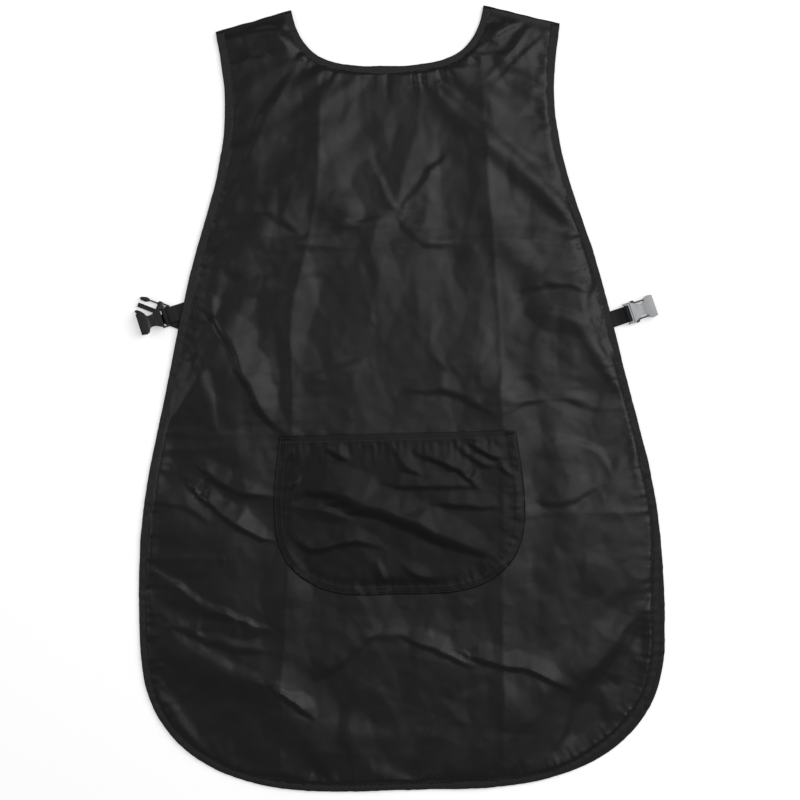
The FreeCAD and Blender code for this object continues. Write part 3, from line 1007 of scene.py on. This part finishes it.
def strap(layer, side):
    """Webbing from its sewn tail, out past the panel's edge, round the buckle's bar and back."""
    start, bar, outward, across = strap_frame(layer, side)
    reach = (bar - start).dot(outward) / MM
    rise = (bar.z - start.z) / MM
    slope = math.atan2(rise, reach)
    length = math.hypot(reach, rise)
    radius = BAR_RADIUS + BAR_SLACK + WEBBING_THICK / 2

    def along(s, w):
        """A point of the strap, s from the bend towards the bar and w off its middle."""
        return s * math.cos(slope) - w * math.sin(slope), s * math.sin(slope) + w * math.cos(slope)

    sewn_level = SEWN_LEVELS[layer] - start.z / MM
    upper = [(-27.5, sewn_level + 0.15), (-14.0, sewn_level + 0.15), (-7.0, sewn_level + 0.2)]
    upper += [along(s, PLY_GAP) for s in (-1.0, 2.0, length - 6.0, length - 4.6)]
    loop = [along(length + radius * math.cos(a), radius * math.sin(a))
            for a in np.radians(np.arange(118, -119, -18))]
    lower = [(-27.5, sewn_level - 0.15), (-14.0, sewn_level - 0.15), (-7.0, sewn_level - 0.2)]
    tail_end = [along(s, -PLY_GAP) for s in (length - 4.6, length - 6.0, 2.0, -1.0)]
    route = upper + loop + tail_end + lower[::-1]
    path = spline(route, 0.7)
    d = np.gradient(path, axis=0)
    d /= np.linalg.norm(d, axis=1)[:, None]
    half, edge = WEBBING_WIDTH / 2, WEBBING_THICK / 2
    section = [(-half, 0), (-half + 0.25, edge), (-half + 1.1, edge * 0.86), (0, edge),
               (half - 1.1, edge * 0.86), (half - 0.25, edge), (half, 0),
               (half - 0.25, -edge), (half - 1.1, -edge * 0.86), (0, -edge),
               (-half + 1.1, -edge * 0.86), (-half + 0.25, -edge)]
    plane = np.array([outward, (0, 0, 1)])
    centres = np.array(start) / MM + path @ plane
    up = np.column_stack([-d[:, 1], d[:, 0]]) @ plane
    wide = np.tile(across, (len(path), 1))
    piece = sweep("{}_webbing_{}".format(layer, side), centres, wide, up, section)
    nodes = ["{}_strap_{}".format(layer, side), "{}_strap_tail_{}".format(layer, side)]
    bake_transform(piece)
    dress(piece, WEBBING, None, nodes)


def anchor_threads():
    """Box and cross stitching over the sewn tails, on the front panel's outside."""
    for side in ("left", "right"):
        start, _, outward, across = strap_frame("front", side)
        centre = start / MM - outward * 19.0
        u, v = np.array(outward[:2]), np.array(across[:2])
        box = [(-4, -6), (4, -6), (4, 6), (-4, 6), (-4, -6), (4, 6), (4, -6), (-4, 6)]
        corners = np.array([np.array(centre[:2]) + u * a + v * b for a, b in box])
        row = evenly(corners, 1.0)
        path = np.column_stack([row, heights_below(bpy.data.objects["front_cloth"], row) + 0.15])
        rows = stitches("strap_anchor_stitches_" + side, path, 2.2, 1.8)
        dress(rows, THREAD, "front", ["front_strap_bartacks"] if side == "left" else [])


def eased(node, material, slot, width):
    """A buckle piece with every hard edge eased, as moulded plastic has; its body has its name."""
    source = frame["nodes"][node]
    mesh = source.data.copy()
    mesh.transform(source.matrix_world)
    bm = bmesh.new()
    bm.from_mesh(mesh)
    bmesh.ops.remove_doubles(bm, verts=bm.verts, dist=0.00001)
    bmesh.ops.dissolve_limit(bm, angle_limit=math.radians(4), verts=bm.verts, edges=bm.edges)
    bm.to_mesh(mesh)
    bm.free()
    piece = bpy.data.objects.new(node + "_moulded", mesh)
    bpy.context.scene.collection.objects.link(piece)
    bevel = piece.modifiers.new("Bevel", "BEVEL")
    bevel.width = width * MM
    bevel.segments = 3
    bevel.limit_method = "ANGLE"
    bevel.angle_limit = math.radians(35)
    apply_modifiers(piece)
    piece.data.set_sharp_from_angle(angle=math.radians(40))
    dress(piece, material, node, [node])


def buckles():
    """The two sockets, the left one black and the right one grey with a painted reflection, and the two
    plugs.
    """
    for side in ("left", "right"):
        # the right socket's grey colour is a painted reflection of the light on black plastic
        female = (PAINTED_REFLECTION_PLASTIC, "buckle_grey") if side == "right" else (BLACK_PLASTIC, "buckle_black")
        eased("female_buckle_" + side, *female, 0.35)
        eased("male_buckle_" + side, BLACK_PLASTIC, "buckle_black", 0.3)
        for place in ("upper", "lower"):
            eased("male_arm_{}_{}".format(place, side), BLACK_PLASTIC, "buckle_black", 0.2)


# ---------------------------------------------------------------------------------------------------
# Floor, light and camera
# ---------------------------------------------------------------------------------------------------


PICTURE_WIDTH = 0.760  # metres, on the floor


def floor():
    """A pale floor wide enough that no view finds its edge."""
    plane = flat_plate("studio_floor", 20000, -0.3)
    n = Nodes("Pale studio floor")
    n.shade(
        Base_Color=n.mixed(n.noise(3), (0.90, 0.90, 0.90), (0.92, 0.92, 0.92)), Roughness=0.85,
        Emission_Color=(1, 1, 1, 1), Emission_Strength=0.42,
    )
    plane.data.materials.append(n.material)


def softbox(name, place, size, power):
    """A soft rectangular light that faces the garment's middle."""
    light = bpy.data.lights.new(name, "AREA")
    light.shape = "RECTANGLE"
    light.size, light.size_y = size
    light.energy = power
    lamp = bpy.data.objects.new(name, light)
    lamp.location = place
    lamp.rotation_euler = (-Vector(place)).to_track_quat("-Z", "Y").to_euler()
    bpy.context.scene.collection.objects.link(lamp)


def studio():
    """Soft light from two sides and an even white surrounding."""
    world = bpy.data.worlds.new("Studio")
    world.use_nodes = True
    background = world.node_tree.nodes["Background"]
    background.inputs["Color"].default_value = (1, 1, 1, 1)
    background.inputs["Strength"].default_value = 0.25
    bpy.context.scene.world = world
    softbox("key", (0.9, 0.38, 1.6), (1.1, 1.6), 18)
    softbox("fill", (-1.5, 0.3, 1.3), (0.8, 1.2), 5.5)
    bpy.context.scene.view_settings.view_transform = "Standard"


def camera():
    """Straight above the garment, turned by the slight slant at which it lies."""
    data = bpy.data.cameras.new("camera")
    data.lens = 100
    data.sensor_width = 36
    height = PICTURE_WIDTH * data.lens / data.sensor_width
    eye = bpy.data.objects.new("camera", data)
    eye.location = (0.003, 0.0, height)
    eye.rotation_euler = (0, 0, math.radians(-1.4))
    bpy.context.scene.collection.objects.link(eye)
    bpy.context.scene.camera = eye


camera()
back_panel()
front = front_panel()
make_bindings()
pocket(front)
for shoulder_side in (-1, 1):
    shoulder(shoulder_side)
for strap_layer in ("front", "back"):
    for strap_side in ("left", "right"):
        strap(strap_layer, strap_side)
anchor_threads()
buckles()
floor()
studio()
